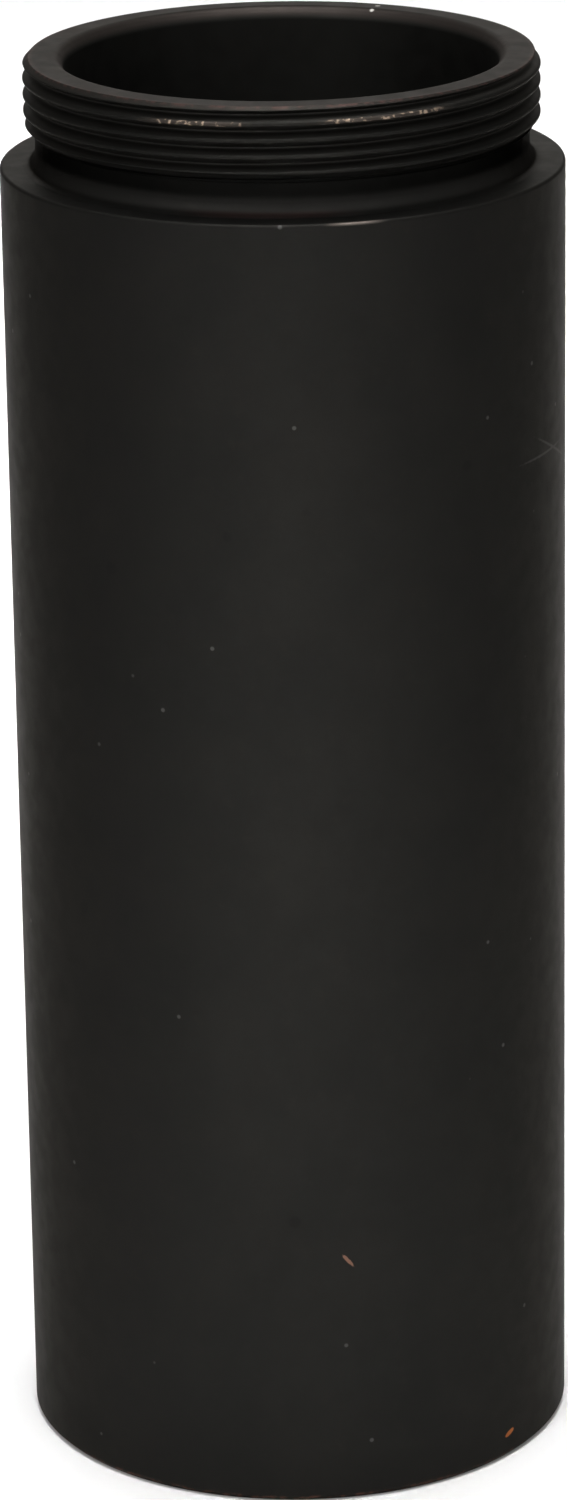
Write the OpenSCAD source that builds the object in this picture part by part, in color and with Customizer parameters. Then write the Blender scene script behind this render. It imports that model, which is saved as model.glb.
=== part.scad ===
// Barlow lens barrel for a telescope: a plain tube of the 1.25 inch eyepiece standard
// with a threaded neck for an eyepiece holder, a baffled bore and a screw-in lens cell.
// Millimetres. The origin is the centre of the bottom face and +Z runs up the tube.

/* [Barrel] */
// outer diameter of the barrel
barrel_d = 31.75; // [31.5:0.05:32]
// length from the bottom face to the shoulder
barrel_length = 75.5; // [50:0.5:110]
// break on the shoulder's outer edge
shoulder_break = 0.18; // [0.1:0.02:0.5]
// chamfer on the bottom outer edge
foot_chamfer = 0.3; // [0.1:0.05:1]

/* [Neck] */
// length of the neck above the shoulder
neck_length = 6.1; // [4:0.1:10]
// outer diameter of the neck's thread
neck_thread_d = 28.96; // [26:0.02:30]
// pitch of the neck's thread, 28 turns to the inch
neck_pitch = 0.907; // [0.5:0.001:1.5]
// depth of the neck's thread
neck_thread_depth = 0.54; // [0.3:0.02:0.9]
// chamfer that starts the thread at the rim
neck_lead_chamfer = 0.35; // [0.1:0.05:0.8]
// diameter of the undercut below the thread
undercut_d = 27.74; // [25:0.02:28.5]
// height of the undercut's plain band
undercut_band = 1.15; // [0.4:0.05:1.5]
// radius of the fillet between the undercut and the shoulder
neck_fillet = 0.7; // [0.7:0.05:2]

/* [Bore] */
// diameter of the bore in the neck
neck_bore_d = 24.34; // [20:0.02:25]
// chamfer on the neck bore's mouth
rim_chamfer = 0.45; // [0.1:0.05:0.8]
// height of the step that the baffle stack is pushed up against
step_z = 69; // [45:0.5:100]
// diameter of the plain bore that holds the baffle stack
stack_bore_d = 26.5; // [25:0.1:27]

/* [Bottom threads] */
// wall diameter of the standard filter thread, M28.5 x 0.6
filter_bore_d = 27.85; // [27.8:0.01:28]
// wall diameter of the thread that holds the lens cell
cell_bore_d = 27; // [26.6:0.1:27.4]
// pitch of both bottom threads
fine_pitch = 0.6; // [0.5:0.1:0.75]
// depth of both bottom threads
fine_depth = 0.3; // [0.2:0.02:0.4]
// height of the filter thread's upper end
filter_end_z = 4; // [3:0.1:6]
// height of the cell thread's upper end
cell_thread_end_z = 14.8; // [12:0.1:20]

/* [Lens cell] */
// height of the cell's lower face
cell_z = 4.2; // [3.5:0.1:6]
// height of the cell
cell_height = 8.4; // [6:0.1:12]
// radial clearance between a male thread and its hole
thread_clearance = 0.06; // [0.02:0.01:0.1]
// width of the spanner slots
spanner_slot = 1.2; // [0.8:0.1:2]

/* [Lenses] */
// diameter of both lenses
glass_d = 22; // [18:0.1:23]
// radius of the concave lens's lower face
front_radius = 75; // [50:1:150]
// radius of the faces that meet
contact_radius = 49; // [30:1:100]
// radius of the meniscus lens's upper face
rear_radius = 102; // [60:1:200]
// thickness of the cement between the lenses
cement = 0.01; // [0.005:0.005:0.03]
// thickness of the concave lens at its centre
concave_centre = 1.6; // [1:0.1:3]
// thickness of the meniscus lens at its centre
meniscus_centre = 2.4; // [1.5:0.1:4]

/* [Baffles] */
// aperture diameter of the lowest baffle
low_aperture = 20.4; // [16:0.1:22]
// aperture diameter of the highest baffle
high_aperture = 23; // [18:0.1:24]
// thickness of a baffle
baffle_thickness = 1.2; // [0.8:0.1:2]

/* [Hidden] */
$fn = 128;
total_height = barrel_length + neck_length;
barrel_r = barrel_d / 2;
neck_thread_r = neck_thread_d / 2;
undercut_r = undercut_d / 2;
neck_bore_r = neck_bore_d / 2;
stack_bore_r = stack_bore_d / 2;
filter_bore_r = filter_bore_d / 2;
cell_bore_r = cell_bore_d / 2;
glass_r = glass_d / 2;
fillet_top_z = barrel_length + neck_fillet;
thread_low_z = fillet_top_z + undercut_band;
thread_start_angle = 205;
groove_steps = 48;
groove_outside = 0.08;
lens_facets = 720;
crest_flat = 0.16;
root_half = 0.06;
mouth_chamfer = 0.4;
relief_height = 0.8;

// lens cell stack, from the lip at its top down to the retaining ring
cell_top_z = cell_z + cell_height;
cell_r = cell_bore_r - thread_clearance;
lip_thickness = 1;
glass_gap = 0.05;
lens_aperture_r = glass_r - 0.9;
glass_bevel = 0.15;
front_sag = sag(front_radius, glass_r);
contact_sag = sag(contact_radius, glass_r);
rear_sag = sag(rear_radius, glass_r);
glass_top_z = cell_top_z - lip_thickness;
contact_edge_z = glass_top_z - (meniscus_centre - contact_sag + rear_sag);
concave_edge_z = contact_edge_z - cement;
glass_low_z = concave_edge_z - (concave_centre + contact_sag + front_sag);
gasket_thickness = 0.5;
gasket_low_z = glass_low_z - gasket_thickness;
retainer_thickness = 1;
retainer_bore_r = glass_r + 0.5;
ring_groove_r = (lens_aperture_r + cell_r) / 2 + 0.35;
ring_section_r = 0.5;
ring_groove_depth = 0.75;
ring_gap = 0.02;

// baffle stack, from the step down to its threaded retainer
stack_r = stack_bore_r - 0.08;
stack_retainer_z = cell_top_z + 2 * ring_section_r - ring_groove_depth + ring_gap;
stack_retainer_height = 2;
stack_low_z = stack_retainer_z + stack_retainer_height;
baffle_count = 3;
sleeve_wall = 0.7;
sleeve_length = (step_z - stack_low_z - baffle_count * baffle_thickness) / baffle_count;
bay = sleeve_length + baffle_thickness;
rib_pitch = 1.5;
rib_depth = 0.25;

anodised = [0.13, 0.13, 0.13];
blackened = [0.05, 0.05, 0.05];
crown_glass = [0.75, 0.85, 0.9];
flint_glass = [0.8, 0.85, 0.8];
nylon = [0.85, 0.84, 0.8];
nitrile = [0.08, 0.08, 0.08];

function sag(radius, half_width) = radius - sqrt(radius * radius - half_width * half_width);
function stack_aperture_r(level) =
    (low_aperture + (high_aperture - low_aperture) * level / (baffle_count - 1)) / 2;

// the half of a turned piece that lies beside the axis, for rotate_extrude
module ring_section(inner_r, outer_r, low_z, high_z)
    translate([inner_r, low_z]) square([outer_r - inner_r, high_z - low_z]);

// V-shaped rings along a wall: side is 1 when they open outwards from a bore's wall,
// -1 when they open inwards from a shaft's
module thread_rings(wall_r, low_z, high_z, pitch, depth, side) {
    count = floor((high_z - low_z) / pitch);
    half = pitch / 2 - 0.08;
    for (i = [0 : count - 1]) {
        z = low_z + (i + 0.5) * pitch;
        polygon([[wall_r - side * 0.05, z - half],
                 [wall_r + side * depth, z],
                 [wall_r - side * 0.05, z + half]]);
    }
}

// two slots across a ring's lower face, for a pin spanner
module spanner_slots(outer_r, face_z, depth)
    translate([-outer_r - 1, -spanner_slot / 2, face_z - 1])
        cube([2 * outer_r + 2, spanner_slot, depth + 1]);

// right-hand V groove of one pitch's width less the crest's flat, cut into a shaft
module helical_groove(crest_r, depth, pitch, low_z, high_z, start_angle) {
    half = (pitch - crest_flat) / 2;
    flare = half + groove_outside * (half - root_half) / depth;
    section = [[crest_r + groove_outside, -flare], [crest_r + groove_outside, flare],
               [crest_r - depth, root_half], [crest_r - depth, -root_half]];
    corners = len(section);
    steps = ceil((high_z - low_z) / pitch * groove_steps);
    path = [for (i = [0 : steps]) [start_angle + 360 * i / groove_steps,
                                   low_z + pitch * i / groove_steps]];
    points = [for (at = path) for (p = section)
                  [p[0] * cos(at[0]), p[0] * sin(at[0]), at[1] + p[1]]];
    low_cap = [[for (k = [corners - 1 : -1 : 0]) k]];
    high_cap = [[for (k = [0 : corners - 1]) steps * corners + k]];
    walls = [for (i = [0 : steps - 1]) for (k = [0 : corners - 1])
                 let (a = i * corners + k, b = i * corners + (k + 1) % corners)
                     for (tri = [[a, b + corners, a + corners], [a, b, b + corners]]) tri];
    polyhedron(points = points, faces = concat(low_cap, walls, high_cap));
}

module barrel_section() {
    fillet_r = undercut_r + neck_fillet;
    difference() {
        union() {
            polygon([[cell_bore_r - 1, 0], [barrel_r - foot_chamfer, 0], [barrel_r, foot_chamfer],
                     [barrel_r, barrel_length - shoulder_break],
                     [barrel_r - shoulder_break, barrel_length], [cell_bore_r - 1, barrel_length]]);
            difference() {
                ring_section(neck_bore_r, fillet_r, barrel_length - 1, fillet_top_z);
                translate([fillet_r, fillet_top_z]) circle(r = neck_fillet);
            }
            ring_section(neck_bore_r, undercut_r, barrel_length - 1, thread_low_z);
            polygon([[neck_bore_r, thread_low_z], [undercut_r, thread_low_z],
                     [neck_thread_r, thread_low_z + neck_thread_r - undercut_r],
                     [neck_thread_r, total_height - neck_lead_chamfer],
                     [neck_thread_r - neck_lead_chamfer, total_height],
                     [neck_bore_r + rim_chamfer, total_height],
                     [neck_bore_r, total_height - rim_chamfer]]);
            ring_section(neck_bore_r, stack_bore_r, step_z, barrel_length);
        }
        ring_section(0, stack_bore_r, -1, step_z);
        ring_section(0, cell_bore_r, -1, cell_thread_end_z);
        ring_section(0, filter_bore_r, -1, filter_end_z);
        ring_section(0, cell_bore_r + fine_depth + 0.05, cell_thread_end_z,
                     cell_thread_end_z + relief_height);
        polygon([[0, -1], [filter_bore_r + mouth_chamfer + 1, -1],
                 [filter_bore_r + mouth_chamfer, 0], [filter_bore_r, mouth_chamfer], [0, mouth_chamfer]]);
        thread_rings(filter_bore_r, mouth_chamfer, filter_end_z, fine_pitch, fine_depth, 1);
        thread_rings(cell_bore_r, filter_end_z + 0.2, cell_thread_end_z, fine_pitch, fine_depth, 1);
    }
}

module barrel() color(anodised) difference() {
    rotate_extrude() barrel_section();
    helical_groove(neck_thread_r, neck_thread_depth, neck_pitch,
                   thread_low_z, total_height + neck_pitch, thread_start_angle);
}

// knife-edged stop: level 0 is the lowest
module baffle(level) color(blackened) {
    high_z = stack_low_z + (level + 1) * bay;
    low_z = high_z - baffle_thickness;
    aperture = stack_aperture_r(level);
    rotate_extrude()
        polygon([[stack_r, low_z], [stack_r, high_z], [aperture + 0.9, high_z],
                 [aperture, low_z + 0.15], [aperture, low_z]]);
}

module upper_baffle() baffle(2);
module middle_baffle() baffle(1);
module lower_baffle() baffle(0);

// spacer tube below the baffle of the same level, ribbed inside against glare
module sleeve(level) color(blackened) {
    low_z = stack_low_z + level * bay;
    high_z = low_z + sleeve_length;
    inner_r = stack_r - sleeve_wall;
    rotate_extrude() difference() {
        ring_section(inner_r, stack_r, low_z, high_z);
        thread_rings(inner_r, low_z + 0.6, high_z - 0.6, rib_pitch, rib_depth, 1);
    }
}

module upper_sleeve() sleeve(2);
module middle_sleeve() sleeve(1);
module lower_sleeve() sleeve(0);

module stack_retainer() color(anodised) difference() {
    rotate_extrude() difference() {
        ring_section(stack_aperture_r(0) + 1, cell_r, stack_retainer_z, stack_low_z);
        thread_rings(cell_r, stack_retainer_z + 0.1, stack_low_z - 0.1, fine_pitch, fine_depth, -1);
    }
    spanner_slots(cell_r, stack_retainer_z, 0.8);
}

module anti_rattle_ring() color(nitrile)
    rotate_extrude() translate([ring_groove_r, cell_top_z - ring_groove_depth + ring_section_r])
        circle(r = ring_section_r);

module lens_cell() color(anodised) difference() {
    rotate_extrude() difference() {
        ring_section(lens_aperture_r, cell_r, cell_z, cell_top_z);
        ring_section(0, glass_r + glass_gap, cell_z - 1, glass_top_z);
        ring_section(0, retainer_bore_r, cell_z - 1, gasket_low_z);
        polygon([[0, cell_top_z - 0.6], [lens_aperture_r, cell_top_z - 0.6],
                 [lens_aperture_r + 0.6, cell_top_z], [lens_aperture_r + 0.6, cell_top_z + 1],
                 [0, cell_top_z + 1]]);
        ring_section(ring_groove_r - ring_section_r - 0.05, ring_groove_r + ring_section_r + 0.05,
                     cell_top_z - ring_groove_depth, cell_top_z + 1);
        thread_rings(cell_r, cell_z + 0.3, cell_top_z - 0.9, fine_pitch, fine_depth, -1);
    }
    spanner_slots(cell_r, cell_z, 0.9);
}

module lens_retainer() color(anodised) difference() {
    rotate_extrude() difference() {
        ring_section(lens_aperture_r, retainer_bore_r - thread_clearance,
                     gasket_low_z - retainer_thickness, gasket_low_z);
        polygon([[0, gasket_low_z - retainer_thickness - 1],
                 [lens_aperture_r + 0.5, gasket_low_z - retainer_thickness - 1],
                 [lens_aperture_r + 0.5, gasket_low_z - retainer_thickness],
                 [lens_aperture_r, gasket_low_z - retainer_thickness + 0.5],
                 [0, gasket_low_z - retainer_thickness + 0.5]]);
    }
    spanner_slots(retainer_bore_r, gasket_low_z - retainer_thickness, 0.6);
}

module lens_gasket() color(nylon)
    rotate_extrude() ring_section(lens_aperture_r, glass_r - 0.05, gasket_low_z, glass_low_z);

// a lens's edge and rim bevels, before its faces are ground
module lens_blank(low_z, high_z)
    polygon([[0, low_z], [glass_r - glass_bevel, low_z], [glass_r, low_z + glass_bevel],
             [glass_r, high_z - glass_bevel], [glass_r - glass_bevel, high_z], [0, high_z]]);

module concave_lens() color(crown_glass) rotate_extrude() difference() {
    lens_blank(glass_low_z, concave_edge_z);
    translate([0, glass_low_z + front_sag - front_radius]) circle(r = front_radius, $fn = lens_facets);
    translate([0, concave_edge_z - contact_sag + contact_radius])
        circle(r = contact_radius, $fn = lens_facets);
}

module meniscus_lens() color(flint_glass) rotate_extrude() difference() {
    intersection() {
        lens_blank(contact_edge_z - contact_sag, glass_top_z);
        translate([0, contact_edge_z - contact_sag + contact_radius])
            circle(r = contact_radius, $fn = lens_facets);
    }
    translate([0, glass_top_z - rear_sag + rear_radius]) circle(r = rear_radius, $fn = lens_facets);
}

barrel();
upper_baffle();
upper_sleeve();
middle_baffle();
middle_sleeve();
lower_baffle();
lower_sleeve();
stack_retainer();
anti_rattle_ring();
lens_cell();
meniscus_lens();
concave_lens();
lens_gasket();
lens_retainer();
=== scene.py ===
import math
from collections import namedtuple

import bmesh
import bpy
import numpy as np
from mathutils import Matrix, Vector


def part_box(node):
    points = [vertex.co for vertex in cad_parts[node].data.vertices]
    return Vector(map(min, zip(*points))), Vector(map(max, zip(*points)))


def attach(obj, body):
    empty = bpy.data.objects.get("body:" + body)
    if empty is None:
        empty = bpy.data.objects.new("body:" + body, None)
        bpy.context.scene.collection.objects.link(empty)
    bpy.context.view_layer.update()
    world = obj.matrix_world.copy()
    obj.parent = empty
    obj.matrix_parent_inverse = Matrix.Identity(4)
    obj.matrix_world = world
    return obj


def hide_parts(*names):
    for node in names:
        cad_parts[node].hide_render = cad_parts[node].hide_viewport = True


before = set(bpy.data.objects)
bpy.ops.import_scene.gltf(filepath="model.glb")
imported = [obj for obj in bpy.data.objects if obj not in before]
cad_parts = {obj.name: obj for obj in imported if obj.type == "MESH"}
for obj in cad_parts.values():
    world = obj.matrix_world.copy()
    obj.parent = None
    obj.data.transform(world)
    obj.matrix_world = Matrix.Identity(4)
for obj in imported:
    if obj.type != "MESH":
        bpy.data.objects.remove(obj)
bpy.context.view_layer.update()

MM = 0.001
TURN = 2 * math.pi


def node_span(node):
    """Outer radius, lowest and highest z of a CAD node, in millimetres."""
    low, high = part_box(node)
    return high.x / MM, low.z / MM, high.z / MM


# Sizes in millimetres. What a CAD node's box shows comes from the box.
BARREL_R, FOOT_Z, RIM_Z = node_span("barrel")
SHOULDER_Z = 75.5
FOOT_CHAMFER = 0.3
SHOULDER_BREAK = 0.18

NECK_CREST_R = 14.48
NECK_BORE_R = 12.17
NECK_PITCH = 0.907
NECK_DEPTH = 0.54
NECK_THREAD_Z = 77.35
NECK_THREAD_ANGLE = 205
NECK_CREST_FLAT = 0.16
NECK_LEAD = 0.35
UNDERCUT_R = 13.87
NECK_FILLET = 0.7
RIM_CHAMFER = 0.45

STACK_BORE_R = 13.25
STEP_Z = 69
CELL_BORE_R = 13.5
CELL_THREAD_END_Z = 14.8
RELIEF_HEIGHT = 0.8
FILTER_BORE_R = 13.925
FILTER_END_Z = 4
MOUTH_CHAMFER = 0.4
FINE_PITCH = 0.6
FINE_DEPTH = 0.3

GLASS_R = 11
GLASS_BEVEL = 0.15
FRONT_RADIUS = 75
CONTACT_RADIUS = 49
REAR_RADIUS = 102
CEMENT = 0.01
CELL_APERTURE_R = 10.1
CELL_MOUTH_R = 11.5
SLOT_WIDTH = 1.2
CELL_SLOT_R = 12.4
STACK_SLOT_R = 12.3
LENS_SLOT_R = 10.9

LOW_APERTURE_R = 10.2
HIGH_APERTURE_R = 11.5
STACK_RING_BORE_R = 11.2
SLEEVE_WALL = 0.7

COLUMNS = 256
FEW_COLUMNS = 144


# ---------------------------------------------------------------- outlines

Corner = namedtuple("Corner", "r z radius", defaults=(0.0,))


def rounded(corners, steps=4, brace=0.03):
    """Rows (r, z) of an outline whose corners are rounded by arcs, with a row close to each arc's
    ends so that smooth shading stays flat beside it."""
    rows = []
    for i, corner in enumerate(corners):
        here = Vector((corner.r, corner.z))
        if not corner.radius:
            rows.append(here)
            continue
        before, after = corners[i - 1], corners[(i + 1) % len(corners)]
        back = (Vector((before.r, before.z)) - here).normalized()
        ahead = (Vector((after.r, after.z)) - here).normalized()
        half = back.angle(ahead) / 2
        start = here + back * corner.radius / math.tan(half)
        end = here + ahead * corner.radius / math.tan(half)
        centre = here + (back + ahead).normalized() * corner.radius / math.sin(half)
        sweep = (start - centre).angle_signed(end - centre)
        rows.append(start + back * brace)
        for k in range(steps + 1):
            spoke = start - centre
            spoke.rotate(Matrix.Rotation(-sweep * k / steps, 2))
            rows.append(centre + spoke)
        rows.append(end + ahead * brace)
    return [tuple(row) for row in rows]


def refined(rows, step, low_z, high_z, low_r, high_r):
    """The same outline with short steps where it runs inside one zone."""
    out = []
    for here, after in zip(rows, rows[1:] + rows[:1]):
        out.append(here)
        if all(low_r <= r <= high_r and low_z <= z <= high_z for r, z in (here, after)):
            pieces = max(1, math.ceil(math.dist(here, after) / step))
            out += [tuple(Vector(here).lerp(Vector(after), k / pieces)) for k in range(1, pieces)]
    return out


# ---------------------------------------------------------------- threads and slots


def soft_clamp(x, soft):
    """x held between 0 and 1, with its two corners rounded over +-soft."""
    low = np.clip(x + soft, 0, 2 * soft) ** 2 / (4 * soft)
    high = 1 - np.clip(1 + soft - x, 0, 2 * soft) ** 2 / (4 * soft)
    return np.where(x < soft, low, np.where(x > 1 - soft, high, x))


def groove(theta, z, pitch, half_width, root_half, soft, at_z=0, at_angle=0):
    """Depth of a right-hand helical groove, from 0 on its crest to 1 on its root."""
    turns = (z - at_z) / pitch - (theta - math.radians(at_angle)) / TURN
    off = np.abs(turns - np.round(turns)) * pitch
    return soft_clamp((half_width - off) / (half_width - root_half), soft)


def fine_thread(wall_r, side, low_z, high_z):
    """Form of the 0.6 mm threads: side is 1 in a hole's wall and -1 on a shaft."""
    def form(theta, r, z):
        fade = np.clip(np.minimum(z - low_z, high_z - z) / 0.15, 0, 1)
        cut = groove(theta, z, FINE_PITCH, 0.26, 0.02, 0.15)
        on_wall = np.abs(r - wall_r) < 0.02
        return theta, np.where(on_wall, wall_r + side * FINE_DEPTH * cut * fade, r), z
    return form


def slot_angles(columns, slot_r):
    """Column angles with a pair at each wall of two opposite slots."""
    wall = math.asin(SLOT_WIDTH / 2 / slot_r)
    even = np.linspace(0, TURN, columns, endpoint=False)
    pairs = [math.pi * side + sign * (wall + gap) for side in (0, 1) for sign in (-1, 1)
             for gap in (-0.002, 0.002)]
    away = np.abs((even + math.pi / 2) % math.pi - math.pi / 2)
    kept = even[np.abs(away - wall) > 0.4 * TURN / columns]
    return np.sort(np.mod(np.concatenate([kept, pairs]), TURN))


def slotted(slot_r, low_z, depth):
    """Form of two opposite slots with parallel walls in a lower face."""
    wall = math.asin(SLOT_WIDTH / 2 / slot_r)
    land = 0.25

    def form(theta, r, z):
        turned_by = (theta + math.pi / 2) // math.pi * math.pi
        away = theta - turned_by
        scale = np.arcsin(SLOT_WIDTH / 2 / np.maximum(r, SLOT_WIDTH)) / wall
        share = np.clip((4 * wall - np.abs(away)) / (3 * wall), 0, 1)
        moved = away * (1 + (scale - 1) * share)
        rise = depth * (1 - (z - low_z) / (depth + land))
        in_slot = (np.abs(away) < wall) & (z < low_z + depth + land)
        return turned_by + moved, r, np.where(in_slot, z + rise, z)
    return form


# ---------------------------------------------------------------- meshes


def turned(name, rows, forms=(), angles=None):
    """A closed mesh: an outline of rows (r, z) turned about the z axis. Each form may change the
    angle, radius and height of the points. An outline that ends on the axis gets two poles."""
    if angles is None:
        angles = np.linspace(0, TURN, COLUMNS, endpoint=False)
    r, z = (np.tile(v, (len(angles), 1)) for v in np.array(rows, float).T)
    theta = np.tile(angles[:, None], (1, len(rows)))
    for form in forms:
        theta, r, z = form(theta, r, z)
    points = np.stack([r * np.cos(theta), r * np.sin(theta), z], -1).reshape(-1, 3) * MM
    column = np.arange(len(angles))[:, None] * len(rows)
    row = np.arange(len(rows))[None, :]
    next_column, next_row = np.roll(column, -1, axis=0), np.roll(row, -1, axis=1)
    faces = np.stack([column + row, next_column + row, next_column + next_row, column + next_row], -1)
    on_axis = rows[0][0] == 0
    if on_axis:
        faces = faces[:, :-1]
    mesh = bpy.data.meshes.new(name)
    mesh.from_pydata(points.tolist(), [], faces.reshape(-1, 4).tolist())
    mesh.shade_smooth()
    if on_axis:
        weld = bmesh.new()
        weld.from_mesh(mesh)
        bmesh.ops.remove_doubles(weld, verts=weld.verts, dist=1e-7)
        weld.to_mesh(mesh)
        weld.free()
    piece = bpy.data.objects.new(name, mesh)
    bpy.context.scene.collection.objects.link(piece)
    return piece


def barrel_shell():
    edge, worn_edge = 0.06, 0.12
    relief_r = CELL_BORE_R + FINE_DEPTH + 0.05
    rows = rounded([
        Corner(FILTER_BORE_R + MOUTH_CHAMFER, FOOT_Z, edge),
        Corner(BARREL_R - FOOT_CHAMFER, FOOT_Z, worn_edge),
        Corner(BARREL_R, FOOT_Z + FOOT_CHAMFER, worn_edge),
        Corner(BARREL_R, SHOULDER_Z, SHOULDER_BREAK),
        Corner(UNDERCUT_R, SHOULDER_Z, NECK_FILLET),
        Corner(UNDERCUT_R, NECK_THREAD_Z, 0.05),
        Corner(NECK_CREST_R, NECK_THREAD_Z + NECK_CREST_R - UNDERCUT_R, 0.05),
        Corner(NECK_CREST_R, RIM_Z - NECK_LEAD, 0.05),
        Corner(NECK_CREST_R - NECK_LEAD, RIM_Z, 0.07),
        Corner(NECK_BORE_R + RIM_CHAMFER, RIM_Z, 0.55),
        Corner(NECK_BORE_R, RIM_Z - RIM_CHAMFER, 0.55),
        Corner(NECK_BORE_R, STEP_Z, edge),
        Corner(STACK_BORE_R, STEP_Z, edge),
        Corner(STACK_BORE_R, CELL_THREAD_END_Z + RELIEF_HEIGHT, edge),
        Corner(relief_r, CELL_THREAD_END_Z + RELIEF_HEIGHT, edge),
        Corner(relief_r, CELL_THREAD_END_Z, edge),
        Corner(CELL_BORE_R, CELL_THREAD_END_Z, edge),
        Corner(CELL_BORE_R, FILTER_END_Z, edge),
        Corner(FILTER_BORE_R, FILTER_END_Z, edge),
        Corner(FILTER_BORE_R, MOUTH_CHAMFER, edge),
    ])
    rows = refined(rows, NECK_PITCH / 24, NECK_THREAD_Z - 0.1, RIM_Z - 0.02, UNDERCUT_R - 0.1, BARREL_R)
    rows = refined(rows, FINE_PITCH / 6, FILTER_END_Z + 0.1, CELL_THREAD_END_Z - 0.1,
                   CELL_BORE_R - 0.01, CELL_BORE_R + 0.01)
    rows = refined(rows, FINE_PITCH / 8, MOUTH_CHAMFER, FILTER_END_Z - 0.1,
                   FILTER_BORE_R - 0.01, FILTER_BORE_R + 0.01)

    def neck_thread(theta, r, z):
        cut = groove(theta, z, NECK_PITCH, (NECK_PITCH - NECK_CREST_FLAT) / 2, 0.06, 0.2,
                     NECK_THREAD_Z, NECK_THREAD_ANGLE)
        on_neck = (z > NECK_THREAD_Z - 0.01) & (r > UNDERCUT_R - 0.05)
        return theta, np.where(on_neck, np.minimum(r, NECK_CREST_R - NECK_DEPTH * cut), r), z

    return turned("barrel_shell", rows, [
        neck_thread,
        fine_thread(CELL_BORE_R, 1, FILTER_END_Z + 0.2, CELL_THREAD_END_Z),
        fine_thread(FILTER_BORE_R, 1, MOUTH_CHAMFER, FILTER_END_Z),
    ])


def few_angles():
    return np.linspace(0, TURN, FEW_COLUMNS, endpoint=False)


def stop(node, aperture_r):
    """A baffle whose knife edge is at its lower face."""
    outer_r, low_z, high_z = node_span(node)
    rows = rounded([
        Corner(aperture_r, low_z),
        Corner(outer_r, low_z, 0.05),
        Corner(outer_r, high_z, 0.05),
        Corner(aperture_r + 0.9, high_z, 0.08),
        Corner(aperture_r, low_z + 0.15, 0.04),
    ])
    return turned(node + "_stop", rows, angles=few_angles())


def spacer(node):
    """A sleeve whose bore has a coarse thread against glare."""
    outer_r, low_z, high_z = node_span(node)
    inner_r = outer_r - SLEEVE_WALL
    rib_pitch, rib_depth = 1.5, 0.25
    rows = rounded([
        Corner(inner_r, low_z, 0.05),
        Corner(outer_r, low_z, 0.05),
        Corner(outer_r, high_z, 0.05),
        Corner(inner_r, high_z, 0.05),
    ])
    rows = refined(rows, rib_pitch / 8, low_z + 0.05, high_z - 0.05, inner_r - 0.01, inner_r + 0.01)

    def ribs(theta, r, z):
        fade = np.clip(np.minimum(z - low_z, high_z - z) / 0.6, 0, 1)
        cut = groove(theta, z, rib_pitch, 0.67, 0.02, 0.08)
        return theta, np.where(np.abs(r - inner_r) < 0.01, inner_r + rib_depth * cut * fade, r), z

    return turned(node + "_tube", rows, [ribs], few_angles())


def stack_ring():
    outer_r, low_z, high_z = node_span("stack_retainer")
    rows = rounded([
        Corner(STACK_RING_BORE_R, low_z, 0.12),
        Corner(outer_r, low_z, 0.15),
        Corner(outer_r, high_z, 0.15),
        Corner(STACK_RING_BORE_R, high_z, 0.12),
    ])
    rows = refined(rows, FINE_PITCH / 8, low_z + 0.1, high_z - 0.1, outer_r - 0.01, outer_r + 0.01)
    return turned("stack_ring", rows,
                  [fine_thread(outer_r, -1, low_z + 0.1, high_z - 0.1), slotted(STACK_SLOT_R, low_z, 0.8)],
                  slot_angles(FEW_COLUMNS, STACK_SLOT_R))


def cell_housing():
    outer_r, low_z, high_z = node_span("lens_cell")
    ring_r = node_span("anti_rattle_ring")[0] - 0.5
    glass_top_z = node_span("meniscus_lens")[2]
    gasket_z = node_span("lens_gasket")[1]
    edge, groove_half, groove_depth, mouth = 0.05, 0.55, 0.75, 0.6
    rows = rounded([
        Corner(CELL_MOUTH_R, low_z, 0.15),
        Corner(outer_r, low_z, 0.2),
        Corner(outer_r, high_z, 0.2),
        Corner(ring_r + groove_half, high_z, edge),
        Corner(ring_r + groove_half, high_z - groove_depth, edge),
        Corner(ring_r - groove_half, high_z - groove_depth, edge),
        Corner(ring_r - groove_half, high_z, edge),
        Corner(CELL_APERTURE_R + mouth, high_z, edge),
        Corner(CELL_APERTURE_R, high_z - mouth, edge),
        Corner(CELL_APERTURE_R, glass_top_z, edge),
        Corner(GLASS_R + 0.05, glass_top_z),
        Corner(GLASS_R + 0.05, gasket_z, edge),
        Corner(CELL_MOUTH_R, gasket_z),
    ])
    rows = refined(rows, FINE_PITCH / 8, low_z + 0.2, high_z - 0.8, outer_r - 0.01, outer_r + 0.01)
    return turned("cell_housing", rows,
                  [fine_thread(outer_r, -1, low_z + 0.3, high_z - 0.9), slotted(CELL_SLOT_R, low_z, 0.9)],
                  slot_angles(FEW_COLUMNS, CELL_SLOT_R))


def lens_ring():
    outer_r, low_z, high_z = node_span("lens_retainer")
    rows = rounded([
        Corner(CELL_APERTURE_R + 0.5, low_z, 0.06),
        Corner(outer_r, low_z, 0.08),
        Corner(outer_r, high_z, 0.05),
        Corner(CELL_APERTURE_R, high_z, 0.04),
        Corner(CELL_APERTURE_R, low_z + 0.5, 0.06),
    ])
    return turned("lens_ring", rows, [slotted(LENS_SLOT_R, low_z, 0.6)],
                  slot_angles(FEW_COLUMNS, LENS_SLOT_R))


def gasket():
    outer_r, low_z, high_z = node_span("lens_gasket")
    rows = rounded([
        Corner(CELL_APERTURE_R, low_z, 0.06),
        Corner(outer_r, low_z, 0.06),
        Corner(outer_r, high_z, 0.06),
        Corner(CELL_APERTURE_R, high_z, 0.06),
    ])
    return turned("nylon_gasket", rows, angles=few_angles())


def rubber_ring():
    outer_r, low_z, high_z = node_span("anti_rattle_ring")
    section_r = (high_z - low_z) / 2
    steps = 24
    rows = [(outer_r - section_r + section_r * math.cos(TURN * k / steps),
             low_z + section_r + section_r * math.sin(TURN * k / steps)) for k in range(steps)]
    return turned("rubber_ring", rows, angles=few_angles())


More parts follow.
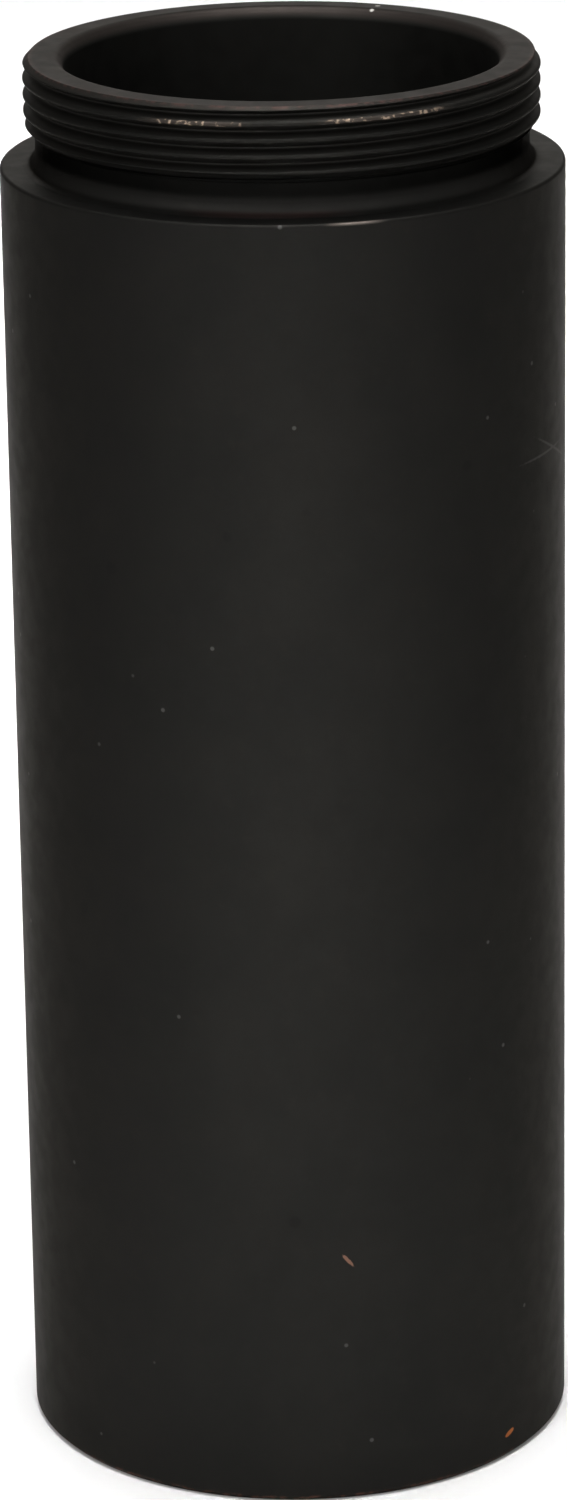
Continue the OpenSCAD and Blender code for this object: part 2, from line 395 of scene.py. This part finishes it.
def cap(radius, edge_z, upwards, steps=14):
    """Rows from the edge to the axis of a spherical face, hollow where upwards is -1."""
    edge_r = GLASS_R - GLASS_BEVEL
    rise = math.sqrt(radius ** 2 - edge_r ** 2)
    radii = [edge_r * (1 - k / steps) for k in range(steps + 1)]
    return [(r, edge_z + upwards * (math.sqrt(radius ** 2 - r ** 2) - rise)) for r in radii]


def lens(name, low_face, high_face):
    """A lens from its two faces, each given as rows from the edge to the axis."""
    low_edge_z, high_edge_z = low_face[0][1], high_face[0][1]
    rim = [(GLASS_R, low_edge_z + GLASS_BEVEL), (GLASS_R, high_edge_z - GLASS_BEVEL)]
    return turned(name, low_face[::-1] + rim + high_face, angles=few_angles())


# ---------------------------------------------------------------- materials


class Paint:
    """A Principled material whose other nodes are made by short calls."""

    def __init__(self, name, base, roughness, **sockets):
        self.material = bpy.data.materials.new(name)
        self.material.use_nodes = True
        self.nodes = self.material.node_tree.nodes
        self.links = self.material.node_tree.links
        self.shader = self.nodes["Principled BSDF"]
        self.set("Base Color", (*base, 1))
        self.set("Roughness", roughness)
        for socket, value in sockets.items():
            self.set(socket.replace("_", " "), value)
        self.place = self.make("ShaderNodeVectorMath", "Vector", {0: self.make(
            "ShaderNodeTexCoord", "Object"), "Scale": 1 / MM}, operation="SCALE")

    def set(self, socket, value):
        self.plug(value, self.shader.inputs[socket])

    def plug(self, value, socket):
        if isinstance(value, bpy.types.NodeSocket):
            self.links.new(value, socket)
        else:
            socket.default_value = value

    def make(self, kind, output, inputs=(), **settings):
        """A new node's output socket."""
        node = self.nodes.new(kind)
        for key, value in settings.items():
            setattr(node, key, value)
        for key, value in dict(inputs).items():
            self.plug(value, node.inputs[key])
        return node.outputs[output]

    def math(self, operation, *values):
        """A Math node, whose inputs are sockets or numbers."""
        return self.make("ShaderNodeMath", 0, dict(enumerate(values)), operation=operation)

    def ramp(self, value, low, high, to_low=0.0, to_high=1.0):
        return self.make("ShaderNodeMapRange", 0, {"Value": value, "From Min": low, "From Max": high,
                         "To Min": to_low, "To Max": to_high}, interpolation_type="SMOOTHSTEP")

    def noise(self, scale, detail=3.0, stretch=None):
        place = self.place
        if stretch:
            place = self.make("ShaderNodeVectorMath", "Vector", {0: place, 1: stretch}, operation="MULTIPLY")
        return self.make("ShaderNodeTexNoise", "Fac", {"Vector": place, "Scale": scale, "Detail": detail})

    def blend(self, share, a, b):
        inputs = {"Factor": share, 6: a, 7: b}
        return self.make("ShaderNodeMix", 2, inputs, data_type="RGBA")

    def specks(self, spacing, reach):
        """1 on round specks that lie about spacing mm apart and reach out from their middles."""
        away = self.make("ShaderNodeTexVoronoi", "Distance", {"Vector": self.place, "Scale": 1 / spacing})
        return self.ramp(away, 1.3 * reach / spacing, 0.7 * reach / spacing)

    def window(self, value, low, high, soft):
        """1 where value is between low and high."""
        return self.math("MULTIPLY", self.ramp(value, low - soft, low + soft),
                         self.ramp(value, high + soft, high - soft))

    def both(self, *shares):
        """The product of some shares, which is high only where all of them are."""
        share = shares[0]
        for other in shares[1:]:
            share = self.math("MULTIPLY", share, other)
        return share

    def bump(self, height, strength, distance):
        self.set("Normal", self.make("ShaderNodeBump", "Normal", {
            "Height": height, "Strength": strength, "Distance": distance * MM}))


def anodised_ring():
    paint = Paint("black_anodised_ring", (0.012, 0.012, 0.012), 0.4)
    tone = paint.ramp(paint.noise(1.2), 0.3, 0.7)
    paint.set("Base Color", paint.blend(tone, (0.009, 0.009, 0.0095, 1), (0.016, 0.0155, 0.015, 1)))
    paint.set("Roughness", paint.ramp(paint.noise(4, stretch=(0.2, 0.2, 6)), 0.3, 0.7, 0.34, 0.46))
    paint.bump(paint.noise(9, stretch=(0.3, 0.3, 4)), 0.25, 0.02)
    return paint.material


def matt_black():
    paint = Paint("matt_black_stop", (0.008, 0.008, 0.008), 0.85)
    tone = paint.ramp(paint.noise(2.5), 0.3, 0.7)
    paint.set("Base Color", paint.blend(tone, (0.006, 0.006, 0.006, 1), (0.012, 0.012, 0.0115, 1)))
    paint.bump(paint.noise(14), 0.5, 0.03)
    return paint.material


def glass(name, ior, tint):
    paint = Paint(name, tint, 0.01, Transmission_Weight=1.0, IOR=ior,
                  Thin_Film_Thickness=115.0, Thin_Film_IOR=1.38)
    dust = paint.ramp(paint.noise(7, 4), 0.68, 0.74)
    paint.set("Roughness", paint.ramp(dust, 0, 1, 0.01, 0.25))
    return paint.material


def nylon():
    paint = Paint("nylon", (0.7, 0.69, 0.64), 0.45)
    tone = paint.ramp(paint.noise(1.5), 0.3, 0.7)
    paint.set("Base Color", paint.blend(tone, (0.66, 0.65, 0.59, 1), (0.75, 0.74, 0.7, 1)))
    paint.bump(paint.noise(8), 0.2, 0.03)
    return paint.material


def nitrile():
    paint = Paint("nitrile", (0.02, 0.02, 0.02), 0.6)
    tone = paint.ramp(paint.noise(3), 0.3, 0.7)
    paint.set("Base Color", paint.blend(tone, (0.015, 0.015, 0.015, 1), (0.03, 0.03, 0.029, 1)))
    paint.bump(paint.noise(12), 0.3, 0.02)
    return paint.material


# A mark on the tube's outside wall: degrees to the right of the front, height, length around the
# wall, width and tilt.
Mark = namedtuple("Mark", "turn height length width tilt")
ORANGE_FLECKS = [Mark(50, 1.5, 0.8, 0.3, 20)]
NICKS = [Mark(10, 15, 1, 0.2, -50)]
SCUFFS = [Mark(65, 60, 5, 0.15, 0), Mark(70, 60, 5, 0.15, -25)]
CHIP_TURN = 155
CHIP_RADII = (12.5, 13.4)
FAR = 9.0


class TubePaint(Paint):
    """The tube's paint, which is laid on in shares by radius, by height and by degrees round from
    the front."""

    def __init__(self):
        super().__init__("black_anodised_tube", (0.016, 0.016, 0.016), 0.55, Metallic=1.0)
        parts = self.nodes.new("ShaderNodeSeparateXYZ")
        self.plug(self.place, parts.inputs[0])
        x, y, self.height = parts.outputs
        flat = self.make("ShaderNodeVectorMath", "Vector", {0: self.place, 1: (1, 1, 0)},
                         operation="MULTIPLY")
        self.radius = self.make("ShaderNodeVectorMath", "Value", {0: flat}, operation="LENGTH")
        around = self.math("ARCTAN2", x, self.math("MULTIPLY", y, -1.0))
        self.turn = self.math("MULTIPLY", around, math.degrees(1))
        self.wall = self.make("ShaderNodeCombineXYZ", "Vector", {
            0: self.math("MULTIPLY", around, BARREL_R), 1: self.height})
        self.outside = self.ramp(self.radius, BARREL_R - 0.3, BARREL_R - 0.1)
        tone = self.ramp(self.noise(0.22, 4), 0.3, 0.7)
        self.colour = self.blend(tone, (0.0155, 0.0152, 0.0141, 1), (0.0173, 0.0167, 0.0153, 1))

    def lay(self, share, colour):
        self.colour = self.blend(share, self.colour, (*colour, 1))

    def along_edge(self, edge_r, edge_z, reach):
        """1 on a turned edge, falling to 0 at a distance of reach."""
        place = self.make("ShaderNodeCombineXYZ", "Vector", {0: self.radius, 1: self.height})
        away = self.make("ShaderNodeVectorMath", "Value", {0: place, 1: (edge_r, edge_z, 0)},
                         operation="DISTANCE")
        return self.ramp(away, reach, 0.3 * reach)

    def marked(self, marks, soft=0.2):
        """1 inside any of the marks, with uneven edges."""
        nearest = FAR
        for mark in marks:
            inside = self.make("ShaderNodeMapping", "Vector", {
                "Vector": self.wall,
                "Location": (math.radians(mark.turn) * BARREL_R, mark.height, 0),
                "Rotation": (0, 0, math.radians(mark.tilt)),
                "Scale": (mark.length / 2, mark.width / 2, 1)}, vector_type="TEXTURE")
            nearest = self.math("MINIMUM", nearest, self.make(
                "ShaderNodeVectorMath", "Value", {0: inside}, operation="LENGTH"))
        uneven = self.math("MULTIPLY_ADD", self.noise(5), 0.8, nearest)
        return self.both(self.ramp(uneven, 1.4 + soft, 1.4 - soft), self.outside)


def lay_neck(paint):
    """Painted light: paler grooves and bore. Painted shadow: a deep black band in the undercut between
    the thread and the shoulder, under the thread's overhang, and weaker reflections over the
    undercut. Painted highlight: a paler band on the fillet at the foot of the neck.
    """
    in_groove = paint.both(paint.window(paint.radius, UNDERCUT_R + 0.03, NECK_CREST_R - 0.12, 0.04),
                           paint.ramp(paint.height, NECK_THREAD_Z, NECK_THREAD_Z + 0.4))
    # painted light: the grooves of the neck thread are laid paler
    paint.lay(paint.both(in_groove, 0.7), (0.033, 0.0315, 0.0285))
    # painted light: the bore of the neck is laid paler
    paint.lay(paint.ramp(paint.radius, NECK_BORE_R + 0.15, NECK_BORE_R + 0.05), (0.028, 0.0275, 0.025))
    at_undercut = paint.both(paint.window(paint.radius, NECK_BORE_R + 0.5, UNDERCUT_R + 0.4, 0.1),
                             paint.window(paint.height, SHOULDER_Z + 0.1, NECK_THREAD_Z + 0.3, 0.1))
    # painted shadow: the upper undercut, under the thread's overhang, is laid near black
    shadow_under_thread = paint.ramp(paint.height, SHOULDER_Z + 0.85, SHOULDER_Z + 1.25)
    paint.lay(paint.both(at_undercut, shadow_under_thread, 0.8), (0.003, 0.003, 0.0027))
    # painted highlight: a paler band on the fillet and lower undercut wall at the foot of the neck
    foot_of_neck = paint.window(paint.height, SHOULDER_Z + 0.2, SHOULDER_Z + 0.9, 0.15)
    paint.lay(paint.both(at_undercut, foot_of_neck, 0.7), (0.03, 0.029, 0.027))
    # painted shade: weaker reflections (lower specular tint) over the whole undercut
    paint.set("Specular Tint", paint.blend(at_undercut, (0.59, 0.58, 0.565, 1), (0.32, 0.31, 0.3, 1)))


def lay_rim(paint):
    # painted light: the rim's flat top face is laid paler and warmer, unevenly
    rim_face = paint.both(paint.ramp(paint.height, RIM_Z - 0.2, RIM_Z - 0.05),
                          paint.ramp(paint.noise(1.5, 5), 0.3, 0.7))
    paint.lay(paint.both(rim_face, 0.7), (0.029, 0.0235, 0.0212))
    # painted light: the rim's inner chamfer is laid paler
    rim_slope = paint.along_edge(NECK_BORE_R + RIM_CHAMFER / 2, RIM_Z - RIM_CHAMFER / 2, 0.45)
    paint.lay(paint.both(rim_slope, 0.9), (0.037, 0.0315, 0.0285))


def lay_edge_wear(paint):
    """Brown wear along the turned edges, and a reddish stretch of the fillet at the front."""
    ragged = paint.ramp(paint.noise(2.5, 5), 0.45, 0.6)
    rim_edge = paint.along_edge(NECK_CREST_R - NECK_LEAD, RIM_Z, 0.2)
    foot_edge = paint.along_edge(BARREL_R - FOOT_CHAMFER / 2, FOOT_Z + FOOT_CHAMFER / 2, 0.35)
    paint.lay(paint.both(rim_edge, ragged, 0.9), (0.065, 0.04, 0.036))
    paint.lay(paint.both(foot_edge, ragged, 0.9), (0.12, 0.06, 0.045))
    fillet = paint.along_edge(UNDERCUT_R + 0.3, SHOULDER_Z + 0.1, 0.35)
    front = paint.window(paint.turn, -20.0, 12.0, 8)
    paint.lay(paint.both(fillet, front, 0.6), (0.022, 0.012, 0.011))


def lay_rubbed_metal_and_glints(paint):
    """Bright metal on two stretches of the first thread crest and in two chips of the rim, and painted
    highlights, partly wear, on short stretches of two edges."""
    first_crest = paint.both(paint.ramp(paint.radius, NECK_CREST_R - 0.13, NECK_CREST_R - 0.03),
                             paint.window(paint.height, RIM_Z - 1.3, RIM_Z - 0.5, 0.05))
    rubbed = paint.math("MAXIMUM", paint.window(paint.turn, -30.0, -10.0, 4),
                        paint.window(paint.turn, 10.0, 35.0, 6))
    chips = paint.ramp(paint.noise(3.2, 4), 0.54, 0.64)
    paint.lay(paint.both(first_crest, rubbed, 0.8), (0.06, 0.05, 0.043))
    paint.lay(paint.both(first_crest, rubbed, chips, 0.9), (0.55, 0.42, 0.32))
    # painted highlight, partly wear: short paler stretches of the shoulder edge and the rim's inner edge
    on_shoulder = paint.both(paint.along_edge(BARREL_R, SHOULDER_Z, 0.2),
                             paint.window(paint.turn, 10.0, 18.0, 3))
    on_rim = paint.both(paint.along_edge(NECK_BORE_R + RIM_CHAMFER, RIM_Z, 0.14),
                        paint.window(paint.turn, 35.0, 40.0, 2))
    glints = paint.math("MAXIMUM", on_shoulder, on_rim)
    paint.lay(paint.both(glints, 0.7), (0.2, 0.17, 0.15))
    chipped_rim = FAR
    across, along = math.sin(math.radians(CHIP_TURN)), -math.cos(math.radians(CHIP_TURN))
    for chip_r in CHIP_RADII:
        chip = (chip_r * across, chip_r * along, RIM_Z)
        chipped_rim = paint.math("MINIMUM", chipped_rim, paint.make(
            "ShaderNodeVectorMath", "Value", {0: paint.place, 1: chip}, operation="DISTANCE"))
    paint.lay(paint.ramp(chipped_rim, 0.2, 0.1), (0.5, 0.48, 0.45))


def lay_wall_marks(paint):
    paint.lay(paint.both(paint.marked(SCUFFS, 0.4), 0.6), (0.08, 0.078, 0.075))
    paint.lay(paint.both(paint.marked(ORANGE_FLECKS), 0.9), (0.35, 0.12, 0.04))
    paint.lay(paint.both(paint.marked(NICKS), 0.8), (0.24, 0.13, 0.09))
    pits, dust = paint.specks(5, 0.35), paint.specks(3.2, 0.12)
    paint.lay(paint.both(pits, paint.outside, 0.4), (0.007, 0.007, 0.007))
    paint.lay(paint.both(dust, paint.outside, 0.7), (0.12, 0.12, 0.115))


def anodised_tube():
    paint = TubePaint()
    mottle = paint.ramp(paint.noise(1.3, 5), 0.55, 0.8)
    paint.lay(paint.both(mottle, 0.3), (0.024, 0.021, 0.018))
    for lay_part in (lay_neck, lay_rim, lay_edge_wear, lay_rubbed_metal_and_glints, lay_wall_marks):
        lay_part(paint)
    paint.set("Base Color", paint.colour)
    paint.set("Roughness", paint.ramp(paint.noise(0.8, 4), 0.3, 0.7, 0.52, 0.58))
    grain = paint.math("ADD", paint.noise(6, stretch=(0.3, 0.3, 3)), paint.noise(5))
    paint.bump(grain, 0.2, 0.01)
    return paint.material


# ---------------------------------------------------------------- pieces


def fit(piece, body, material, node):
    piece.data.materials.append(material)
    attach(piece, body)
    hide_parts(node)


def make_pieces():
    ring_black, stop_black = anodised_ring(), matt_black()
    fit(barrel_shell(), "tube", anodised_tube(), "barrel")
    middle_aperture_r = (LOW_APERTURE_R + HIGH_APERTURE_R) / 2
    for level, aperture_r in (("lower", LOW_APERTURE_R), ("middle", middle_aperture_r),
                              ("upper", HIGH_APERTURE_R)):
        fit(stop(level + "_baffle", aperture_r), "tube", stop_black, level + "_baffle")
        fit(spacer(level + "_sleeve"), "tube", stop_black, level + "_sleeve")
    fit(stack_ring(), "tube", ring_black, "stack_retainer")
    fit(rubber_ring(), "seal", nitrile(), "anti_rattle_ring")
    fit(cell_housing(), "cell", ring_black, "lens_cell")
    fit(lens_ring(), "cell", ring_black, "lens_retainer")
    fit(gasket(), "cell", nylon(), "lens_gasket")
    low_z, contact_z = node_span("concave_lens")[1:]
    top_z = node_span("meniscus_lens")[2]
    concave = lens("concave_element", cap(FRONT_RADIUS, low_z, 1), cap(CONTACT_RADIUS, contact_z, -1))
    meniscus = lens("meniscus_element", cap(CONTACT_RADIUS, contact_z + CEMENT, -1),
                    cap(REAR_RADIUS, top_z, -1))
    fit(concave, "cell", glass("crown_glass", 1.52, (0.97, 0.99, 1)), "concave_lens")
    fit(meniscus, "cell", glass("flint_glass", 1.62, (0.98, 1, 0.98)), "meniscus_lens")


# ---------------------------------------------------------------- stage, lights, camera


def make_floor():
    mesh = bpy.data.meshes.new("floor")
    half = 3
    corners = [(-half, -half, 0), (half, -half, 0), (half, half, 0), (-half, half, 0)]
    mesh.from_pydata(corners, [], [(0, 1, 2, 3)])
    floor = bpy.data.objects.new("floor", mesh)
    bpy.context.scene.collection.objects.link(floor)
    mesh.materials.append(Paint("pale_floor", (0.9, 0.9, 0.9), 0.9).material)


# From here sizes and places are in metres, as Blender has them.
MID_TUBE = (0, 0, 0.04)
SOFTBOX = (0.46, 0.35)
CAMERA_AT = (-0.0011, -0.3243, 0.1505)
CAMERA_YAW, CAMERA_PITCH, CAMERA_ROLL = 0.0021, 0.3272, -0.015
CAMERA_LENS = 141.6
WORLD_STRENGTH = 0.4


def make_light(name, at, target, size, watts, spread=180):
    data = bpy.data.lights.new(name, "AREA")
    data.shape = "RECTANGLE"
    data.size, data.size_y = size
    data.energy = watts
    data.spread = math.radians(spread)
    light = bpy.data.objects.new(name, data)
    light.location = at
    light.rotation_euler = (Vector(target) - Vector(at)).to_track_quat("-Z", "Y").to_euler()
    light.visible_camera = False
    bpy.context.scene.collection.objects.link(light)


def make_world(colour, strength):
    world = bpy.data.worlds.new("studio")
    world.use_nodes = True
    background = world.node_tree.nodes["Background"]
    background.inputs["Color"].default_value = (*colour, 1)
    background.inputs["Strength"].default_value = strength
    bpy.context.scene.world = world


def make_camera():
    """A camera turned to the right by yaw, down by pitch and about its own line of sight by roll."""
    yaw, pitch, roll = CAMERA_YAW, CAMERA_PITCH, CAMERA_ROLL
    forward = Vector((math.sin(yaw) * math.cos(pitch), math.cos(yaw) * math.cos(pitch), -math.sin(pitch)))
    level = forward.cross(Vector((0, 0, 1))).normalized()
    upright = level.cross(forward)
    right = math.cos(roll) * level + math.sin(roll) * upright
    up = math.cos(roll) * upright - math.sin(roll) * level
    data = bpy.data.cameras.new("camera")
    data.lens = CAMERA_LENS
    data.sensor_width = 36
    data.clip_start = 0.01
    camera = bpy.data.objects.new("camera", data)
    camera.matrix_world = Matrix((right, up, -forward)).transposed().to_4x4()
    camera.location = CAMERA_AT
    bpy.context.scene.collection.objects.link(camera)
    bpy.context.scene.camera = camera


make_pieces()
make_floor()
make_world((1, 1, 1), WORLD_STRENGTH)
make_light("key", (-0.39, -0.675, 0.49), MID_TUBE, SOFTBOX, 1.54)
make_light("fill", (0.39, -0.675, 0.49), MID_TUBE, SOFTBOX, 0.75)
make_light("high", (0, -0.31, 0.886), MID_TUBE, SOFTBOX, 1.68)
make_light("front_floor", (-0.05, -0.8, 0.9), (-0.05, -0.8, 0), (0.9, 0.4), 1.62, 36)
make_light("near_floor", (0, -0.15, 0.9), (0, -0.15, 0), (0.15, 0.15), 0.27, 16)
make_light("back_floor", (0, 0.2, 0.9), (0, 0.2, 0), (0.3, 0.3), 0.57, 28)
make_light("rear", (0, 0.9, 0.38), (0, 0, 0.08), (0.5, 0.3), 0.96)
make_camera()
bpy.context.scene.view_settings.view_transform = "Standard"
